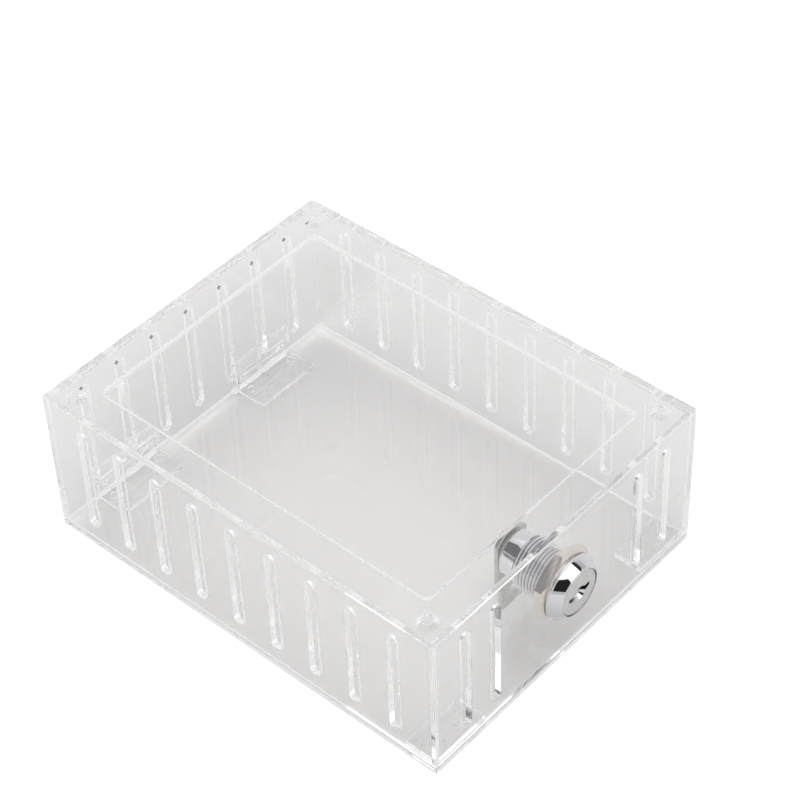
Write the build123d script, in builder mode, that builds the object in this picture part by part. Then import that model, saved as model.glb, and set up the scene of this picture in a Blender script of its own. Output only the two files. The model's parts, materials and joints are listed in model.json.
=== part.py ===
"""A clear lock box that goes over a wall thermostat, lying on its hinged cover.

Millimetres. +X runs from the hinge wall to the lock wall, +Z from the cover to the back
plate. The origin is the middle of the box, on the surface that the hinge barrels lie on.
"""

import os
from math import cos, radians, sin

from build123d import *

os.makedirs("parts", exist_ok=True)

# --- the box -----------------------------------------------------------------------------
box_length = 200.0  # along X, over the outer faces of the two end walls
box_width = 155.0  # along Y, over the outer faces of the two long walls
box_depth = 72.0  # along Z, from the cover's outer face to the back plate's outer face
wall_sheet = 3.0
cover_sheet = 3.0
back_sheet = 3.0
cover_gap = 0.6  # open line between the closed cover and the walls' edges
edge_break = 0.3  # polished bevel along the edges that a hand can touch

# --- back plate: window over the thermostat and four screw holes ---------------------------
window_margin = 16.0
window_corner = 3.0
screw_inset_x = 10.0
screw_inset_y = 9.0
screw_hole_radius = 2.25
screw_sink_radius = 4.25
screw_sink_angle = 90.0

# --- vent slots ----------------------------------------------------------------------------
slot_width = 5.0
slot_lower_margin = 7.1  # from a wall's lower edge to its slots
slot_upper_margin = 5.6  # from the slots to the wall's upper edge
hinge_wall_slots = 7
hinge_wall_pitch = 19.5
long_wall_slots = 9
long_wall_pitch = 20.0
lock_wall_inner_slot = 42.5  # from the lock's axis
lock_wall_outer_slot = 59.5

# --- the two hinges, outside the corner of hinge wall and cover ------------------------------
hinge_inset = 37.5  # from a long wall's outer face to the middle of the hinge beside it
hinge_length = 33.0
hinge_leaf_width = 16.0  # from the corner of the box to the leaf's far edge
hinge_leaf_thickness = 2.0
hinge_leaf_corner = 2.5  # radius of the two corners away from the barrel
hinge_barrel_radius = 2.5
hinge_pin_radius = 1.0
hinge_knuckles = 4
hinge_knuckle_gap = 0.3
hinge_relief = 0.3  # between one leaf's edge and the corner, clear of the other's knuckles
hinge_hole_radius = 1.5
hinge_hole_spacing = 24.0
hinge_hole_inset = 5.0  # from the corner of the box

# --- locating blocks on the cover, in the two corners beside the lock ------------------------
block_length = 12.8  # along X
block_width = 26.0  # along Y
block_height = 3.0
block_clearance = 0.5

# --- lock: head, barrel and nut ---------------------------------------------------------------
lock_height = 37.5  # from the cover's outer face to the lock's axis
head_radius = 14.0
head_rim = 1.0
head_projection = 5.0
head_front_radius = 10.9
face_recess_radius = 10.4
face_recess_depth = 2.0
barrel_length = 26.0  # behind the lock wall's outer face
thread_radius = 11.0
thread_depth = 0.9
thread_pitch = 1.5
thread_crest = 0.15  # flat along each crest
thread_turns = 13
thread_start = 0.5  # plain neck under the head
barrel_end_radius = 10.0
barrel_hole_clearance = 0.2
nut_across_flats = 27.5
nut_thickness = 5.0
nut_bevel = 1.0  # along the axis, where the hexagon's corners are turned off
nut_bevel_radial = 2.0
nut_turn = 6.0  # degrees past corner up, as it was left when it was tightened

# --- lock: plug, wafers, stop washer, cam and screw -------------------------------------------
plug_radius = 8.0
face_gap = 0.3  # thin ring round the plug's face
face_sunk = 0.15
keyway_length = 12.0
keyway_height = 1.8
keyway_jog = 0.8  # step between the keyway's two halves
keyway_depth = 22.0
dimple_radius = 2.4
dimple_depth = 1.0
wafer_count = 5
wafer_pitch = 3.0
wafer_thickness = 1.2
wafer_first = 6.0  # from the plug's face to the first wafer
wafer_length = 14.4
wafer_height = 6.0
wafer_window_margin = 0.2
wafer_lug_length = 1.2
wafer_lug_height = 1.6
groove_depth = 1.1  # of the two grooves that the wafers lock into
spring_radius = 0.6
spring_length = 3.9
tail_side = 7.0
washer_radius = 8.4
washer_thickness = 1.4
stop_lug_radius = 9.6
stop_lug_length = 2.0
stop_lug_angle = 30.0
lock_turn = 45.0
stop_margin = 1.5  # degrees between lug and stop at each end of the turn
cam_thickness = 1.8
cam_reach = 25.0  # from the axis to the hook's end
cam_half_width = 8.5
cam_top = 11.0
cam_corner = 4.0
hook_radius = 17.5  # middle of the hook's slot, where the keeper's arm passes
hook_slot_width = 6.0
hook_setback = 0.6  # how far past the cam's middle line the slot runs
cam_screw_radius = 2.0
cam_screw_length = 9.0
cam_screw_head_radius = 5.2
cam_screw_head_height = 2.2
cam_screw_head_round = 0.7
cam_screw_cross = 5.0
cam_screw_cross_width = 1.1
cam_screw_cross_depth = 1.2

# --- keeper on the cover, caught by the hook when the lock is turned ---------------------------
keeper_sheet = 3.0
keeper_post_width = 10.0
keeper_arm_height = 4.0
keeper_arm_overhang = 4.0  # past the cam's front face
keeper_post_clearance = 4.0  # from the post to the cam's back face
keeper_fillet = 1.5

# --- fits -------------------------------------------------------------------------------------
running_fit = 0.05  # radial, for the plug in its barrel and the pins in their knuckles
thread_fit = 0.05
sliding_fit = 0.05
axial_play = 0.1

# --- places that follow from the sizes above ---------------------------------------------------
cover_bottom = 2 * hinge_barrel_radius
cover_top = cover_bottom + cover_sheet
wall_bottom = cover_top + cover_gap
back_top = cover_bottom + box_depth
back_bottom = back_top - back_sheet
wall_height = back_bottom - wall_bottom
wall_middle = wall_bottom + wall_height / 2
slot_length = wall_height - slot_lower_margin - slot_upper_margin
slot_middle = wall_bottom + slot_lower_margin + slot_length / 2
end_face = box_length / 2
side_face = box_width / 2
hinge_offset = side_face - hinge_inset  # from the box's middle to each hinge's middle
inner_end = end_face - wall_sheet
inner_side = side_face - wall_sheet
lock_z = cover_bottom + lock_height

barrel_axis_x = -end_face - hinge_barrel_radius
barrel_axis_z = hinge_barrel_radius
knuckle_length = (hinge_length - (hinge_knuckles - 1) * hinge_knuckle_gap) / hinge_knuckles

barrel_end = end_face - barrel_length
head_front = end_face + head_projection
plug_front = head_front - face_sunk
recess_floor = head_front - face_recess_depth
plug_shoulder = barrel_end - axial_play
washer_back = plug_shoulder - washer_thickness
cam_back = washer_back - cam_thickness
tail_end = cam_back + axial_play
# The keeper's arm lies where the middle of the hook's slot is after the lock's turn.
keeper_y = hook_radius * sin(radians(lock_turn))
keeper_z = lock_z - hook_radius * cos(radians(lock_turn))


def write(piece, name):
    """Label one finished piece and write it under its own name."""
    piece.part.label = name
    export_step(piece.part, f"parts/{name}.step")
    print(name, "volume", round(piece.part.volume), "solids", len(piece.part.solids()))


def spread(count, pitch):
    """Evenly spaced places about zero."""
    return [(index - (count - 1) / 2) * pitch for index in range(count)]


# --- clear sheets --------------------------------------------------------------------------------
def make_back_plate():
    window_length = box_length - 2 * window_margin
    window_width = box_width - 2 * window_margin
    inner_face = Plane(origin=(0, 0, back_bottom), x_dir=(1, 0, 0), z_dir=(0, 0, -1))
    with BuildPart() as plate:
        with BuildSketch(Plane.XY.offset(back_bottom)):
            Rectangle(box_length, box_width)
            RectangleRounded(window_length, window_width, window_corner, mode=Mode.SUBTRACT)
        extrude(amount=back_sheet)
        chamfer(plate.faces().sort_by(Axis.Z)[-1].edges(), edge_break)
        with Locations(inner_face):
            with GridLocations(
                box_length - 2 * screw_inset_x, box_width - 2 * screw_inset_y, 2, 2
            ):
                CounterSinkHole(
                    screw_hole_radius,
                    screw_sink_radius,
                    depth=back_sheet,
                    counter_sink_angle=screw_sink_angle,
                )
    return plate


def make_slotted_wall(face, width, slot_places, hole_radius=None):
    """One wall cut from sheet: `face` is its plane, with Z as the plane's second axis."""
    with BuildPart() as wall:
        with BuildSketch(face):
            with Locations((0, wall_middle)):
                Rectangle(width, wall_height)
            with Locations(*[(place, slot_middle) for place in slot_places]):
                SlotOverall(slot_length, slot_width, rotation=90, mode=Mode.SUBTRACT)
            if hole_radius:
                with Locations((0, lock_z)):
                    Circle(hole_radius, mode=Mode.SUBTRACT)
        extrude(amount=wall_sheet)
    return wall


def make_front_cover():
    with BuildPart() as cover:
        with BuildSketch(Plane.XY.offset(cover_bottom)):
            Rectangle(box_length, box_width)
        extrude(amount=cover_sheet)
        chamfer(cover.edges(), edge_break)
    return cover


def make_locating_block(side):
    """A block on the cover's inner face; `side` is -1 for the near corner, 1 for the far."""
    block_x = inner_end - block_clearance - block_length / 2
    block_y = side * (inner_side - block_clearance - block_width / 2)
    with BuildPart() as block:
        with BuildSketch(Plane.XY.offset(cover_top)):
            with Locations((block_x, block_y)):
                Rectangle(block_length, block_width)
        extrude(amount=block_height)
        chamfer(block.faces().sort_by(Axis.Z)[-1].edges(), edge_break)
    return block


def make_keeper():
    """A sheet cut to an upturned L: a post bonded to the cover, and an arm over it."""
    post_far = cam_back - keeper_post_clearance
    post_near = post_far - keeper_post_width
    arm_end = washer_back + keeper_arm_overhang
    arm_top = keeper_z + keeper_arm_height / 2
    arm_under = keeper_z - keeper_arm_height / 2
    with BuildPart() as keeper:
        with BuildSketch(Plane.XZ.offset(-keeper_y - keeper_sheet / 2)) as outline:
            with BuildLine():
                Polyline(
                    (post_near, cover_top),
                    (post_far, cover_top),
                    (post_far, arm_under),
                    (arm_end, arm_under),
                    (arm_end, arm_top),
                    (post_near, arm_top),
                    close=True,
                )
            make_face()
            inner_corner = outline.vertices().sort_by_distance((post_far, arm_under))[0]
            fillet(inner_corner, keeper_fillet)
        extrude(amount=keeper_sheet)
    return keeper


# --- hinges --------------------------------------------------------------------------------------
def knuckle_places(side, first):
    """Start of every second knuckle of one hinge along Y, beginning with number `first`."""
    start = side * hinge_offset - hinge_length / 2
    step = knuckle_length + hinge_knuckle_gap
    return [start + index * step for index in range(first, hinge_knuckles, 2)]


def make_hinge_leaf(side, on_wall):
    """One leaf with its knuckles. On the wall it stands up, on the cover it lies flat."""
    middle = side * hinge_offset
    corner_x = -end_face
    corner_z = cover_bottom
    thickness = hinge_leaf_thickness
    plate_length = hinge_leaf_width - hinge_relief
    # The leaf's own directions: along its width, away from the corner, and off its sheet.
    if on_wall:
        leaf_plane = Plane(origin=(corner_x, middle, corner_z), x_dir=(0, 1, 0), z_dir=(-1, 0, 0))
    else:
        leaf_plane = Plane(origin=(corner_x, middle, corner_z), x_dir=(0, -1, 0), z_dir=(0, 0, -1))
    away = 1 if leaf_plane.y_dir.dot(Vector(1, 0, 1)) > 0 else -1
    first = 0 if on_wall else 1
    with BuildPart() as leaf:
        with BuildSketch(leaf_plane):
            with Locations((0, away * (hinge_relief + plate_length / 2))):
                Rectangle(hinge_length, plate_length)
        extrude(amount=thickness)
        width_axis = Axis.Z if on_wall else Axis.X
        across_sheet = leaf.edges().filter_by(Axis.X if on_wall else Axis.Z)
        fillet(across_sheet.group_by(width_axis)[-1], hinge_leaf_corner)
        far_edges = leaf.edges().group_by(width_axis)[-1]
        chamfer(far_edges.filter_by(Axis.Y), edge_break)
        with Locations(leaf_plane.offset(thickness)):
            with Locations((0, away * hinge_hole_inset)):
                with GridLocations(hinge_hole_spacing, 1, 2, 1):
                    Hole(hinge_hole_radius, depth=thickness)
        for start in knuckle_places(side, first):
            section = Plane(
                origin=(barrel_axis_x, start, barrel_axis_z), x_dir=(1, 0, 0), z_dir=(0, 1, 0)
            )
            with BuildSketch(section):
                Circle(hinge_barrel_radius)
                root_length = hinge_barrel_radius + hinge_relief
                root_middle = root_length / 2
                sheet_middle = hinge_barrel_radius - thickness / 2
                # The section's second axis points down, so up is minus.
                if on_wall:
                    with Locations((sheet_middle, -root_middle)):
                        Rectangle(thickness, root_length)
                else:
                    with Locations((root_middle, -sheet_middle)):
                        Rectangle(root_length, thickness)
            extrude(amount=knuckle_length)
        bore = Plane(
            origin=(barrel_axis_x, middle, barrel_axis_z), x_dir=(1, 0, 0), z_dir=(0, 1, 0)
        )
        with BuildSketch(bore):
            Circle(hinge_pin_radius + running_fit)
        extrude(amount=hinge_length, both=True, mode=Mode.SUBTRACT)
    return leaf


def make_hinge_pin(side):
    start = side * hinge_offset - hinge_length / 2
    section = Plane(
        origin=(barrel_axis_x, start, barrel_axis_z), x_dir=(1, 0, 0), z_dir=(0, 1, 0)
    )
    with BuildPart() as pin:
        with BuildSketch(section):
            Circle(hinge_pin_radius)
        extrude(amount=hinge_length)
    return pin


# --- lock ----------------------------------------------------------------------------------------
def lock_plane(x):
    """A plane across the lock's axis: first axis Y, second axis Z, normal +X."""
    return Plane(origin=(x, 0, lock_z), x_dir=(0, 1, 0), z_dir=(1, 0, 0))


def wafer_places():
    return [plug_front - wafer_first - index * wafer_pitch for index in range(wafer_count)]


def thread_outline():
    """Half section of the head and the threaded barrel, as distance along X and radius."""
    root_radius = thread_radius - thread_depth
    points = [
        (barrel_end, 0.0),
        (barrel_end, barrel_end_radius - edge_break),
        (barrel_end + edge_break, barrel_end_radius),
    ]
    last_root = end_face - thread_start - thread_turns * thread_pitch
    points.append((last_root, barrel_end_radius))
    for turn in range(thread_turns):
        root = last_root + turn * thread_pitch
        points.append((root, root_radius))
        points.append((root + (thread_pitch - thread_crest) / 2, thread_radius))
        points.append((root + (thread_pitch + thread_crest) / 2, thread_radius))
    points.append((last_root + thread_turns * thread_pitch, root_radius))
    points.append((end_face, root_radius))
    points.append((end_face, head_radius))
    points.append((end_face + head_rim, head_radius))
    points.append((head_front, head_front_radius))
    points.append((head_front, 0.0))
    return points


def make_lock_housing():
    stack_length = wafer_pitch * wafer_count
    stack_middle = sum(wafer_places()) / wafer_count
    lug_sweep = stop_lug_angle + lock_turn + 2 * stop_margin
    notch_depth = stop_lug_length + axial_play
    with BuildPart() as housing:
        with BuildSketch(Plane(origin=(0, 0, lock_z), x_dir=(1, 0, 0), z_dir=(0, -1, 0))):
            with BuildLine():
                Polyline(*thread_outline(), close=True)
            make_face()
        revolve(axis=Axis((0, 0, lock_z), (1, 0, 0)))
        with BuildSketch(lock_plane(recess_floor)):
            Circle(face_recess_radius)
        extrude(amount=face_recess_depth, mode=Mode.SUBTRACT)
        with BuildSketch(lock_plane(barrel_end)):
            Circle(plug_radius + running_fit)
        extrude(amount=recess_floor - barrel_end, mode=Mode.SUBTRACT)
        # Two grooves inside, where the wafers stand out while no key is in the plug.
        with BuildSketch(lock_plane(stack_middle - stack_length / 2)):
            Rectangle(2 * (plug_radius + groove_depth), wafer_height + 2 * sliding_fit)
        extrude(amount=stack_length, mode=Mode.SUBTRACT)
        # The notch in the barrel's end, in which the stop washer's lug travels.
        with BuildSketch(lock_plane(barrel_end)):
            Polygon(
                *wedge(barrel_end_radius, -stop_lug_angle / 2 - stop_margin, lug_sweep),
                align=None,
            )
        extrude(amount=notch_depth, mode=Mode.SUBTRACT)
    return housing


def wedge(radius, start, sweep):
    """Corners of a wedge at the lock's axis that is wider than a disc of this radius."""
    reach = 2 * radius
    angles = (start, start + sweep / 2, start + sweep)
    return [(0, 0)] + [(reach * cos(radians(a)), reach * sin(radians(a))) for a in angles]


def make_lock_nut():
    flat = nut_across_flats / 2
    corner = flat / cos(radians(30))
    inner_face_x = inner_end - nut_thickness
    with BuildPart() as nut:
        with BuildSketch(lock_plane(inner_face_x)):
            RegularPolygon(corner, 6, rotation=30 + nut_turn)
        extrude(amount=nut_thickness)
        # Both faces are turned to a cone, so that each corner of the hexagon is cut round.
        with BuildSketch(Plane(origin=(0, 0, lock_z), x_dir=(1, 0, 0), z_dir=(0, -1, 0))):
            with BuildLine():
                Polyline(
                    (inner_face_x, 0),
                    (inner_face_x, corner - nut_bevel_radial),
                    (inner_face_x + nut_bevel, corner),
                    (inner_end - nut_bevel, corner),
                    (inner_end, corner - nut_bevel_radial),
                    (inner_end, 0),
                    close=True,
                )
            make_face()
        revolve(axis=Axis((0, 0, lock_z), (1, 0, 0)), mode=Mode.INTERSECT)
        with BuildSketch(lock_plane(inner_face_x)):
            Circle(thread_radius + thread_fit)
        extrude(amount=nut_thickness, mode=Mode.SUBTRACT)
    return nut


def make_lock_plug():
    half_length = keyway_length / 2
    slot_thickness = wafer_thickness + 2 * sliding_fit
    with BuildPart() as plug:
        with BuildSketch(lock_plane(plug_shoulder)):
            Circle(plug_radius)
        extrude(amount=plug_front - plug_shoulder)
        with BuildSketch(lock_plane(recess_floor + axial_play)):
            Circle(face_recess_radius - face_gap)
        extrude(amount=plug_front - recess_floor - axial_play)
        with BuildSketch(lock_plane(plug_shoulder)):
            Rectangle(tail_side, tail_side)
        extrude(amount=tail_end - plug_shoulder)
        with BuildSketch(lock_plane(plug_front)):
            for side in (-1, 1):
                with Locations((side * half_length / 2, side * keyway_jog / 2)):
                    Rectangle(half_length, keyway_height)
        extrude(amount=-keyway_depth, mode=Mode.SUBTRACT)
        with BuildSketch(lock_plane(plug_front)):
            Circle(dimple_radius)
        extrude(amount=-dimple_depth, mode=Mode.SUBTRACT)
        for place in wafer_places():
            with BuildSketch(lock_plane(place - slot_thickness / 2)):
                Rectangle(2 * plug_radius, wafer_height + 2 * sliding_fit)
                with Locations((spring_length / 2, wafer_height / 2 + wafer_lug_height / 2)):
                    Rectangle(
                        spring_length + 2 * wafer_lug_length + 2 * sliding_fit,
                        wafer_lug_height + 2 * sliding_fit,
                    )
            extrude(amount=slot_thickness, mode=Mode.SUBTRACT)
        with BuildSketch(lock_plane(tail_end)):
            Circle(cam_screw_radius + thread_fit)
        extrude(amount=cam_screw_length, mode=Mode.SUBTRACT)
    return plug


def make_lock_wafers():
    window_length = keyway_length + 2 * wafer_window_margin
    window_height = keyway_height + keyway_jog + 2 * wafer_window_margin
    with BuildPart() as wafers:
        for place in wafer_places():
            with BuildSketch(lock_plane(place - wafer_thickness / 2)):
                Rectangle(wafer_length, wafer_height)
                Rectangle(window_length, window_height, mode=Mode.SUBTRACT)
                with Locations((-wafer_lug_length / 2, wafer_height / 2 + wafer_lug_height / 2)):
                    Rectangle(wafer_lug_length, wafer_lug_height)
            extrude(amount=wafer_thickness)
    return wafers


def make_wafer_springs():
    spring_z = lock_z + wafer_height / 2 + wafer_lug_height / 2
    with BuildPart() as springs:
        for place in wafer_places():
            section = Plane(
                origin=(place, sliding_fit, spring_z), x_dir=(1, 0, 0), z_dir=(0, 1, 0)
            )
            with BuildSketch(section):
                Circle(spring_radius)
            extrude(amount=spring_length)
    return springs


def make_stop_washer():
    """A washer on the plug's square tail, with a lug bent forward into the barrel's notch."""
    lug_wedge = wedge(stop_lug_radius, -stop_lug_angle / 2, stop_lug_angle)
    with BuildPart() as washer:
        with BuildSketch(lock_plane(washer_back)):
            Circle(stop_lug_radius)
            Polygon(*lug_wedge, align=None, mode=Mode.INTERSECT)
            Circle(washer_radius)
            Rectangle(tail_side + 2 * sliding_fit, tail_side + 2 * sliding_fit, mode=Mode.SUBTRACT)
        extrude(amount=washer_thickness)
        with BuildSketch(lock_plane(plug_shoulder)):
            Circle(stop_lug_radius)
            Circle(plug_radius + 2 * running_fit, mode=Mode.SUBTRACT)
            Polygon(*lug_wedge, align=None, mode=Mode.INTERSECT)
        extrude(amount=axial_play + stop_lug_length)
    return washer


def make_lock_cam():
    """A flat plate that hangs down at rest, with a slot round the axis that makes it a hook."""
    inner = hook_radius - hook_slot_width / 2
    outer = hook_radius + hook_slot_width / 2
    beyond = cam_reach + cam_half_width
    with BuildPart() as cam:
        with BuildSketch(lock_plane(cam_back)):
            with BuildLine():
                Polyline(
                    (-cam_half_width, -cam_reach),
                    (cam_half_width, -cam_reach),
                    (cam_half_width, cam_top - cam_corner),
                    (cam_half_width - cam_corner, cam_top),
                    (-cam_half_width + cam_corner, cam_top),
                    (-cam_half_width, cam_top - cam_corner),
                    close=True,
                )
            make_face()
            Rectangle(tail_side + 2 * sliding_fit, tail_side + 2 * sliding_fit, mode=Mode.SUBTRACT)
        extrude(amount=cam_thickness)
        # The slot: a ring about the axis, kept on the leading side, with a round end.
        with BuildSketch(lock_plane(cam_back)):
            Circle(outer)
            Circle(inner, mode=Mode.SUBTRACT)
            with Locations((beyond / 2 - hook_setback, -beyond / 2)):
                Rectangle(beyond, beyond, mode=Mode.INTERSECT)
            with Locations((-hook_setback, -hook_radius)):
                Circle(hook_slot_width / 2)
        extrude(amount=cam_thickness, mode=Mode.SUBTRACT)
    return cam


def make_cam_screw():
    head_back = cam_back - cam_screw_head_height
    with BuildPart() as screw:
        with BuildSketch(lock_plane(head_back)):
            Circle(cam_screw_head_radius)
        extrude(amount=cam_screw_head_height)
        fillet(screw.edges().sort_by(Axis.X)[0], cam_screw_head_round)
        with BuildSketch(lock_plane(cam_back)):
            Circle(cam_screw_radius)
        extrude(amount=cam_screw_length)
        with BuildSketch(lock_plane(head_back)):
            Rectangle(cam_screw_cross, cam_screw_cross_width)
            Rectangle(cam_screw_cross_width, cam_screw_cross)
        extrude(amount=cam_screw_cross_depth, mode=Mode.SUBTRACT)
    return screw


# --- write every piece -------------------------------------------------------------------------------
hinge_wall_places = spread(hinge_wall_slots, hinge_wall_pitch)
long_wall_places = spread(long_wall_slots, long_wall_pitch)
lock_wall_places = [
    side * place for side in (-1, 1) for place in (lock_wall_inner_slot, lock_wall_outer_slot)
]
long_wall_length = box_length - 2 * wall_sheet
lock_hole_radius = thread_radius + barrel_hole_clearance

write(make_back_plate(), "back_plate")
write(make_slotted_wall(Plane.YZ.offset(-end_face), box_width, hinge_wall_places), "hinge_wall")
write(
    make_slotted_wall(
        Plane.YZ.offset(inner_end), box_width, lock_wall_places, hole_radius=lock_hole_radius
    ),
    "lock_wall",
)
write(
    make_slotted_wall(Plane.XZ.offset(inner_side), long_wall_length, long_wall_places),
    "near_wall",
)
write(
    make_slotted_wall(Plane.XZ.offset(-side_face), long_wall_length, long_wall_places),
    "far_wall",
)
write(make_front_cover(), "front_cover")
write(make_keeper(), "keeper")
for word, side in (("near", -1), ("far", 1)):
    write(make_locating_block(side), f"{word}_locating_block")
    write(make_hinge_leaf(side, on_wall=True), f"{word}_hinge_wall_leaf")
    write(make_hinge_leaf(side, on_wall=False), f"{word}_hinge_cover_leaf")
    write(make_hinge_pin(side), f"{word}_hinge_pin")
write(make_lock_housing(), "lock_housing")
write(make_lock_nut(), "lock_nut")
write(make_lock_plug(), "lock_plug")
write(make_lock_wafers(), "lock_wafers")
write(make_wafer_springs(), "wafer_springs")
write(make_stop_washer(), "stop_washer")
write(make_lock_cam(), "lock_cam")
write(make_cam_screw(), "cam_screw")
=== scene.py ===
# %% [markdown]
# # A clear lock box for a wall thermostat
#
# The real box is glued together from laser cut acrylic sheet, hangs on two clear hinges
# and is shut by a small chromed cam lock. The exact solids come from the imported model.
# This lesson gives each of them its surface: clear sheet that bends light, polished edges,
# a turned and chromed lock, and the soft white light of a studio table.

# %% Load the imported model
import json
from math import asin, atan2, cos, degrees, pi, radians, tan

import bmesh
import bpy
from mathutils import Matrix, Quaternion, Vector


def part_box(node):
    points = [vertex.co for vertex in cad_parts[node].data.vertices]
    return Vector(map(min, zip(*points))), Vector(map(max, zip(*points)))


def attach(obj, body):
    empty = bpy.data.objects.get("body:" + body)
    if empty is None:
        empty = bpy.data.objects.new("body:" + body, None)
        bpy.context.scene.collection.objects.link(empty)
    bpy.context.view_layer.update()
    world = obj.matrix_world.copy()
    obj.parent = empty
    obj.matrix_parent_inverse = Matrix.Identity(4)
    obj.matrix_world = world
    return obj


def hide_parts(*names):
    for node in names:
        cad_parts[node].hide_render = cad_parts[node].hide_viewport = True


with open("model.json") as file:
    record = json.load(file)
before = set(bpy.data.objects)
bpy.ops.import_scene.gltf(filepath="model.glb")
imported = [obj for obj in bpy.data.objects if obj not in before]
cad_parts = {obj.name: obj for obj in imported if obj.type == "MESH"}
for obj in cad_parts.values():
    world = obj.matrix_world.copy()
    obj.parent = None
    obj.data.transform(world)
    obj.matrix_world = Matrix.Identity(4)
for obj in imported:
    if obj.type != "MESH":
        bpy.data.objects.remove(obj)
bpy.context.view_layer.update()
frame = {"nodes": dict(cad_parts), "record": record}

# %% [markdown]
# ## Working in millimetres
#
# The sheet is 3 mm thick, so millimetres are the handy unit for modelling, while Blender's
# scene is in metres. Each piece is therefore modelled in millimetres in its true place, and
# made smaller by a thousand once, in its mesh. The object itself stays at the origin, which
# keeps every pattern on Object coordinates in step with the CAD solids.

# %% Millimetres, places and finished pieces
MM = 0.001


def place(node):
    """Lowest and highest corner of a CAD node, in millimetres."""
    low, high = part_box(node)
    return low / MM, high / MM


def keep_edges_crisp(bm, angle):
    """Smooth shading everywhere, broken where two faces meet at more than this angle."""
    for face in bm.faces:
        face.smooth = True
    for edge in bm.edges:
        edge.smooth = len(edge.link_faces) == 2 and edge.calc_face_angle(0) < angle


def finish_piece(bm, name, body, slot, stands_for, crisp=12):
    """Write a bmesh in millimetres to an object that rides on a body of the model.

    Its finish is the one of its slot, and edges of more than crisp degrees stay sharp."""
    bmesh.ops.scale(bm, vec=(MM, MM, MM), verts=bm.verts[:])
    keep_edges_crisp(bm, radians(crisp))
    mesh = bpy.data.meshes.new(name)
    bm.to_mesh(mesh)
    bm.free()
    mesh.materials.append(finishes[slot])
    piece = bpy.data.objects.new(name, mesh)
    bpy.context.scene.collection.objects.link(piece)
    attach(piece, body)
    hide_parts(*stands_for)
    print(name, "faces", len(mesh.polygons), "stands for", ", ".join(stands_for))
    return piece


# %% [markdown]
# ## A small kit for node materials
#
# All finishes here are made of nodes, with no image files. A few short helpers keep the
# recipes readable: one adds a node and sets its sockets, one adds a piece of arithmetic, and
# one starts a material with Object coordinates, which are the same metres that the model is
# measured in.

# %% Node helpers
def new_node(tree, kind, settings=None, **sockets):
    """Add a node; settings are its own options, sockets its inputs by name."""
    node = tree.nodes.new(kind)
    for key, value in (settings or {}).items():
        setattr(node, key, value)
    for key, value in sockets.items():
        put(tree, value, node.inputs[key.replace("_", " ")])
    return node


def put(tree, value, socket):
    """Link an output to a socket, or set the socket to a plain value."""
    if isinstance(value, bpy.types.NodeSocket):
        tree.links.new(value, socket)
    else:
        socket.default_value = value


def math(tree, operation, *values):
    """One step of arithmetic on numbers or on other nodes' outputs."""
    node = new_node(tree, "ShaderNodeMath", {"operation": operation})
    for value, socket in zip(values, node.inputs):
        put(tree, value, socket)
    return node.outputs[0]


def all_of(tree, first, *others):
    """The product of several shares."""
    for other in others:
        first = math(tree, "MULTIPLY", first, other)
    return first


def any_of(tree, first, *others):
    """The highest of several shares."""
    for other in others:
        first = math(tree, "MAXIMUM", first, other)
    return first


def axes_of(tree, vector):
    return new_node(tree, "ShaderNodeSeparateXYZ", Vector=vector).outputs


def start_material(name):
    """A new material, its node tree, its output and the Object coordinates in metres."""
    material = bpy.data.materials.new(name)
    material.use_nodes = True
    tree = material.node_tree
    tree.nodes.clear()
    output = tree.nodes.new("ShaderNodeOutputMaterial")
    position = tree.nodes.new("ShaderNodeTexCoord").outputs["Object"]
    return material, tree, output, position


def noise(tree, position, scale, detail, stretch=(1, 1, 1)):
    """A noise whose scale counts blobs per metre, stretched along the axes."""
    mapping = new_node(tree, "ShaderNodeMapping", Vector=position, Scale=stretch)
    return new_node(
        tree, "ShaderNodeTexNoise", Vector=mapping.outputs[0], Scale=scale, Detail=detail
    ).outputs["Fac"]


def spread_to(tree, value, low, high, from_low=0.3, from_high=0.7):
    """Turn a value between from_low and from_high into one between low and high."""
    node = new_node(tree, "ShaderNodeMapRange", {"clamp": True}, Value=value)
    limits = {"From Min": from_low, "From Max": from_high, "To Min": low, "To Max": high}
    for name, number in limits.items():
        node.inputs[name].default_value = number
    return node.outputs[0]


def blend_colours(tree, share, first, second):
    """The second colour by this share, and the first by the rest."""
    node = new_node(tree, "ShaderNodeMix", {"data_type": "RGBA"})
    put(tree, share, node.inputs[0])
    put(tree, first, node.inputs[6])
    put(tree, second, node.inputs[7])
    return node.outputs[2]


def mix_shaders(tree, share, first, second):
    """The second shader by this share, and the first by the rest."""
    node = new_node(tree, "ShaderNodeMixShader")
    for value, socket in zip((share, first.outputs[0], second.outputs[0]), node.inputs):
        put(tree, value, socket)
    return node


def bump(tree, height, distance):
    return new_node(tree, "ShaderNodeBump", Height=height, Distance=distance).outputs[0]


# %% [markdown]
# ## Clear acrylic
#
# Acrylic bends light with an index of 1.49. A Principled shader with full transmission does
# that, and the bright and dark lines along every edge then come by themselves, by the same
# inner reflections as in the real sheet. Two things are added. Rays on their way to a lamp
# pass straight through, so that the box doesn't throw the black shadow of a solid. And
# where two sheets are glued, the solvent melts them into one, so there is no surface to see:
# a mask finds those faces by their place and lets the light through unbent, with a few
# small bubbles of glue left in it.
#
# Light that comes down beside a wall meets it at a flat angle and is mostly turned away, so
# the foot of a wall stands in a soft shade. The veil for lamp rays is darker on upright
# faces for that reason.

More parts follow.
